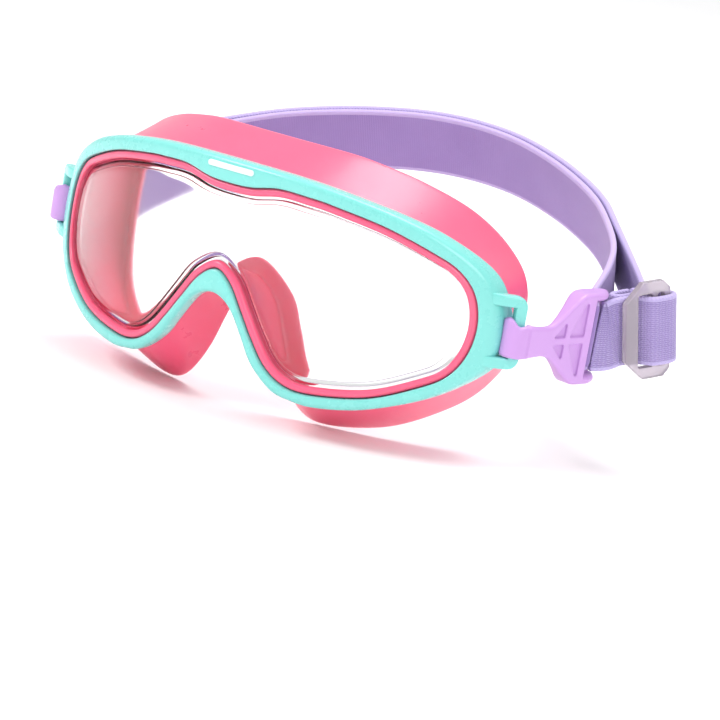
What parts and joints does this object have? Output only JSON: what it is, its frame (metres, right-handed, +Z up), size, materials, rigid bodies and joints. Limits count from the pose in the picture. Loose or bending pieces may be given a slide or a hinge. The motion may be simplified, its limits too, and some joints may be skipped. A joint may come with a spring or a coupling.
{
  "type": "swim goggles",
  "caption": "One-lens wide swim goggles with a soft face skirt, swivelling strap hooks and an adjustable elastic head strap.",
  "frame": {"origin": "Centre of the face opening: mid-width, at the height of the lens's widest point, level with the skirt's rear edge above the nose.", "axes": "+X towards the wearer's left, +Y from the lens towards the back of the head, +Z up."},
  "size_m": [0.1897, 0.1406, 0.0769],
  "materials": {
    "frame_teal": "satin gloss",
    "lens_clear": "clear polycarbonate, polished",
    "skirt_pink": "soft silicone, satin",
    "hook_lilac": "satin gloss",
    "slider_clear": "smoky clear plastic, polished",
    "webbing_violet": "knitted elastic, matte"
  },
  "bodies": {
    "mask": {"frame": "frame_teal", "lens": "lens_clear", "skirt": "skirt_pink", "headband_inner": "webbing_violet", "headband_outer": "webbing_violet"},
    "hook_right": {"hook_right": "hook_lilac", "strap_right_loop": "webbing_violet", "strap_right_outer": "webbing_violet"},
    "hook_left": {"hook_left": "hook_lilac", "strap_left_loop": "webbing_violet"},
    "slider": {"slider": "slider_clear", "slider_fold": "webbing_violet", "strap_end_fold": "webbing_violet"}
  },
  "joints": [
    {"name": "right_hook_swivel", "type": "hinge", "parent": "mask", "child": "hook_right", "pos_m": [0.07683, 0.01091, 0], "axis": [0, 0, 1], "range_deg": [-20, 12]},
    {"name": "left_hook_swivel", "type": "hinge", "parent": "mask", "child": "hook_left", "pos_m": [-0.07683, 0.01091, 0], "axis": [0, 0, 1], "range_deg": [-12, 20]},
    {"name": "slider_slide", "type": "slide", "parent": "hook_right", "child": "slider", "axis": [0.4891, 0.8471, 0.2079], "range_m": [-0.0015, 0.0015]}
  ]
}
